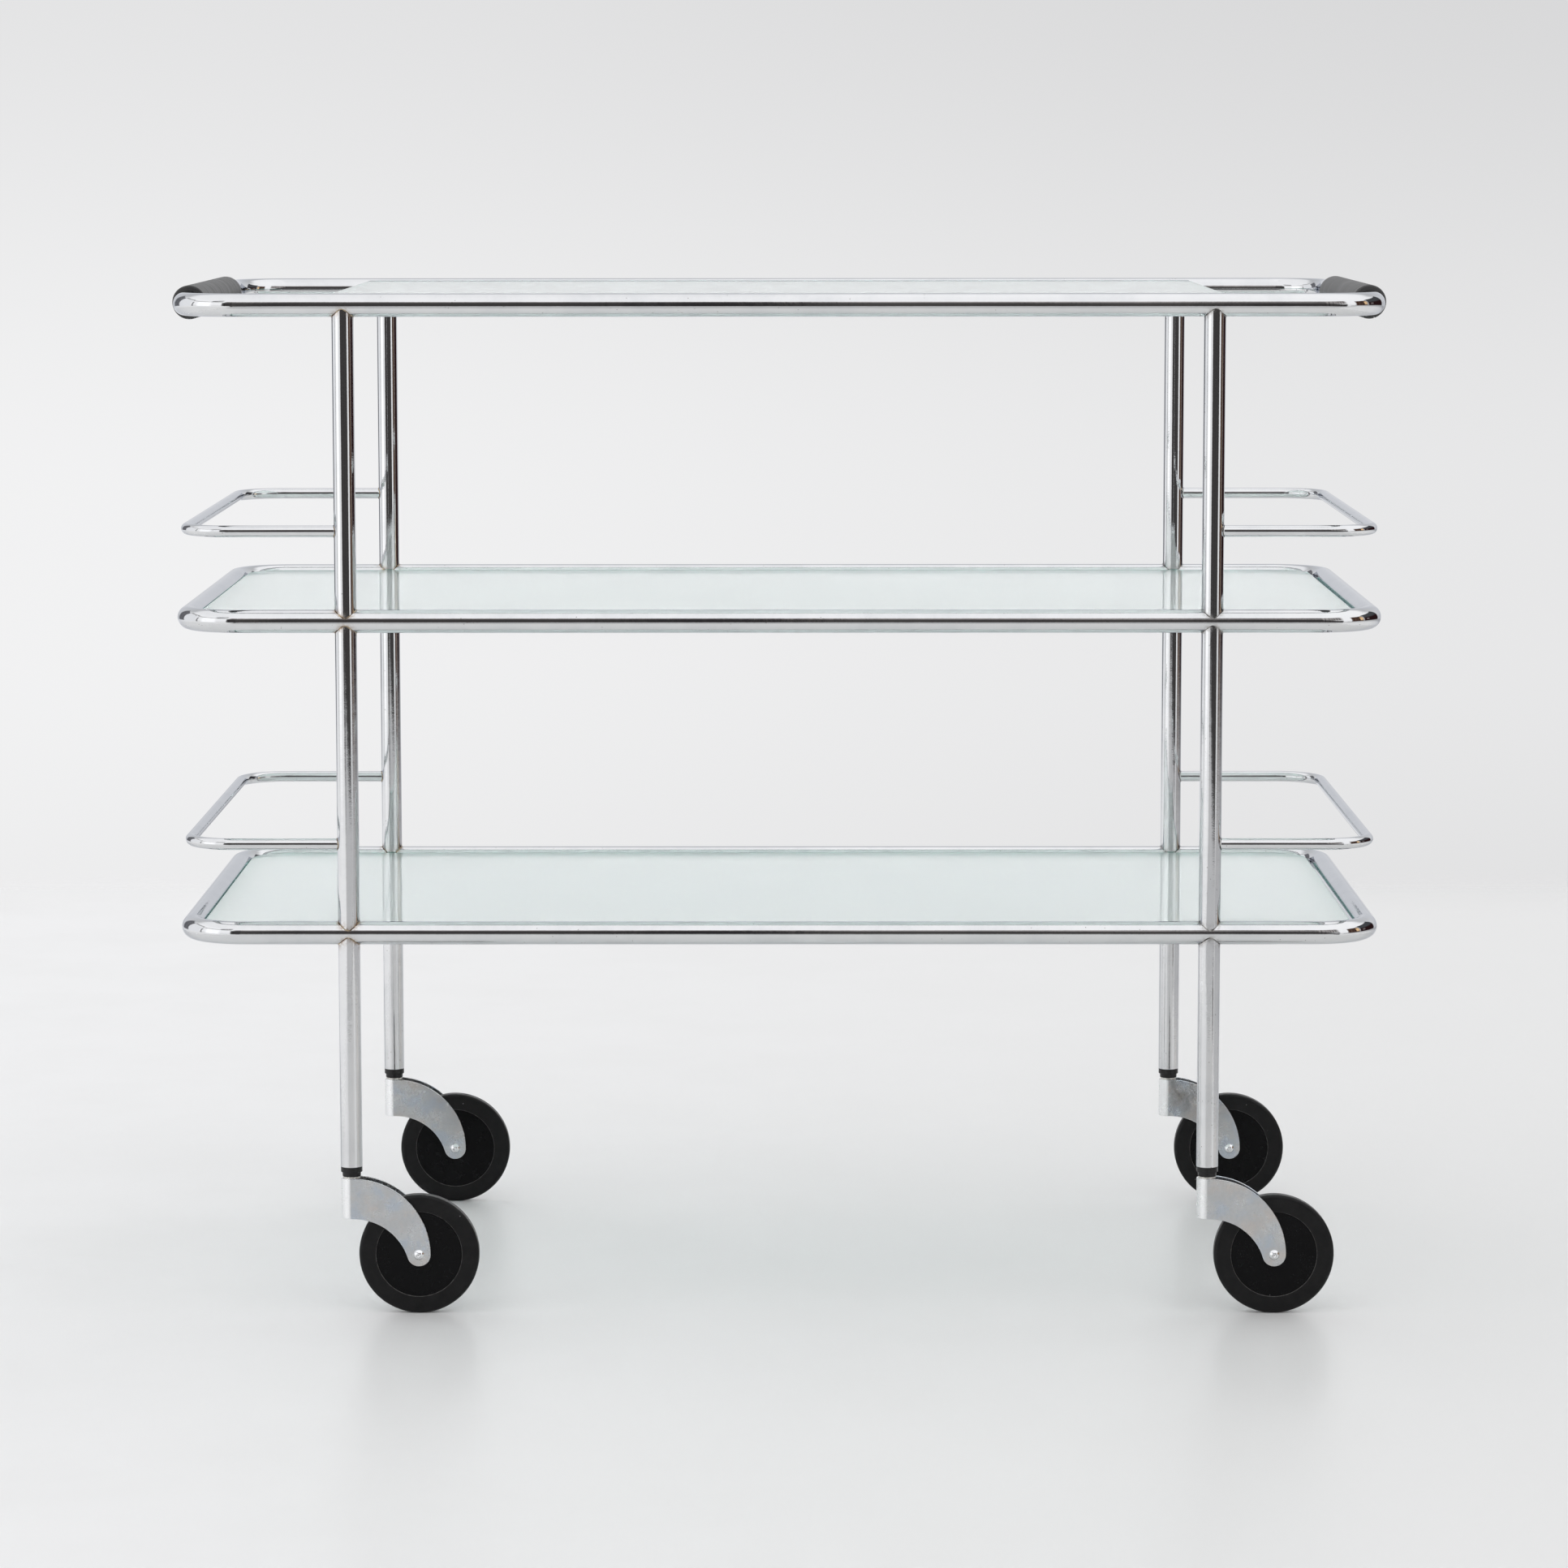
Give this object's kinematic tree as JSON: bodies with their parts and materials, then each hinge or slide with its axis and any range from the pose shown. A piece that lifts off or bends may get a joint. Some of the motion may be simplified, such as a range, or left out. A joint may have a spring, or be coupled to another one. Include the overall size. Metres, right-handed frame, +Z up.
{
  "type": "bar cart",
  "caption": "Serving trolley of bent chrome tube with glass shelves, low gallery rails at both ends, sleeved push handles and swivel casters with thin rubber-tyred wheels.",
  "frame": {"origin": "on the floor, below the middle of the trolley", "axes": "+X along the trolley to its right-hand end, +Y from front to back, +Z up"},
  "size_m": [1.006, 0.4816, 0.8505],
  "materials": {
    "frame_chrome": "polished plating on bent tube",
    "leg_chrome": "polished plating, lightly worn low down",
    "rail_chrome": "polished plating on bent rod",
    "lug_chrome": "plated",
    "shelf_glass": "clear float glass, ground edges",
    "clear_pad": "clear soft vinyl",
    "grip_leather": "black grained sleeve",
    "socket_plastic": "black moulded",
    "stem_steel": "turned",
    "washer_steel": "zinc plated",
    "fork_steel": "zinc plated sheet, satin",
    "rivet_steel": "bright",
    "hub_plastic": "black moulded",
    "tyre_rubber": "black moulded rubber",
    "bush_steel": "turned sleeve"
  },
  "bodies": {
    "trolley": {"caster_socket_back_left": "socket_plastic", "caster_socket_back_right": "socket_plastic", "caster_socket_front_left": "socket_plastic", "caster_socket_front_right": "socket_plastic", "glass_rest_pads": "clear_pad", "handle_grip_left": "grip_leather", "handle_grip_right": "grip_leather", "lower_frame_tube": "frame_chrome", "lower_gallery_rail_left": "rail_chrome", "lower_gallery_rail_right": "rail_chrome", "lower_glass_pane": "shelf_glass", "lower_leg_back_left": "leg_chrome", "lower_leg_back_right": "leg_chrome", "lower_leg_front_left": "leg_chrome", "lower_leg_front_right": "leg_chrome", "middle_frame_tube": "frame_chrome", "middle_gallery_rail_left": "rail_chrome", "middle_gallery_rail_right": "rail_chrome", "middle_glass_pane": "shelf_glass", "middle_leg_back_left": "leg_chrome", "middle_leg_back_right": "leg_chrome", "middle_leg_front_left": "leg_chrome", "middle_leg_front_right": "leg_chrome", "shelf_rest_lugs": "lug_chrome", "top_frame_tube": "frame_chrome", "top_glass_pane": "shelf_glass", "upper_leg_back_left": "leg_chrome", "upper_leg_back_right": "leg_chrome", "upper_leg_front_left": "leg_chrome", "upper_leg_front_right": "leg_chrome"},
    "caster_front_left": {"caster_stem_front_left": "stem_steel", "swivel_washer_front_left": "washer_steel", "caster_fork_front_left": "fork_steel", "axle_rivet_front_left": "rivet_steel"},
    "wheel_front_left": {"wheel_hub_front_left": "hub_plastic", "wheel_tyre_front_left": "tyre_rubber", "wheel_bush_front_left": "bush_steel"},
    "caster_front_right": {"caster_stem_front_right": "stem_steel", "swivel_washer_front_right": "washer_steel", "caster_fork_front_right": "fork_steel", "axle_rivet_front_right": "rivet_steel"},
    "wheel_front_right": {"wheel_hub_front_right": "hub_plastic", "wheel_tyre_front_right": "tyre_rubber", "wheel_bush_front_right": "bush_steel"},
    "caster_back_left": {"caster_stem_back_left": "stem_steel", "swivel_washer_back_left": "washer_steel", "caster_fork_back_left": "fork_steel", "axle_rivet_back_left": "rivet_steel"},
    "wheel_back_left": {"wheel_hub_back_left": "hub_plastic", "wheel_tyre_back_left": "tyre_rubber", "wheel_bush_back_left": "bush_steel"},
    "caster_back_right": {"caster_stem_back_right": "stem_steel", "swivel_washer_back_right": "washer_steel", "caster_fork_back_right": "fork_steel", "axle_rivet_back_right": "rivet_steel"},
    "wheel_back_right": {"wheel_hub_back_right": "hub_plastic", "wheel_tyre_back_right": "tyre_rubber", "wheel_bush_back_right": "bush_steel"}
  },
  "joints": [
    {"name": "swivel_front_left", "type": "hinge", "parent": "trolley", "child": "caster_front_left", "pos_m": [-0.3555, -0.23, 0.114], "axis": [0, 0, 1], "continuous": true},
    {"name": "roll_front_left", "type": "hinge", "parent": "caster_front_left", "child": "wheel_front_left", "pos_m": [-0.2997, -0.23, 0.05], "axis": [0, 1, 0], "continuous": true},
    {"name": "swivel_front_right", "type": "hinge", "parent": "trolley", "child": "caster_front_right", "pos_m": [0.3555, -0.23, 0.114], "axis": [0, 0, 1], "continuous": true},
    {"name": "roll_front_right", "type": "hinge", "parent": "caster_front_right", "child": "wheel_front_right", "pos_m": [0.4113, -0.23, 0.05], "axis": [0, 1, 0], "continuous": true},
    {"name": "swivel_back_left", "type": "hinge", "parent": "trolley", "child": "caster_back_left", "pos_m": [-0.3555, 0.23, 0.114], "axis": [0, 0, 1], "continuous": true},
    {"name": "roll_back_left", "type": "hinge", "parent": "caster_back_left", "child": "wheel_back_left", "pos_m": [-0.2997, 0.23, 0.05], "axis": [0, 1, 0], "continuous": true},
    {"name": "swivel_back_right", "type": "hinge", "parent": "trolley", "child": "caster_back_right", "pos_m": [0.3555, 0.23, 0.114], "axis": [0, 0, 1], "continuous": true},
    {"name": "roll_back_right", "type": "hinge", "parent": "caster_back_right", "child": "wheel_back_right", "pos_m": [0.4113, 0.23, 0.05], "axis": [0, 1, 0], "continuous": true}
  ]
}
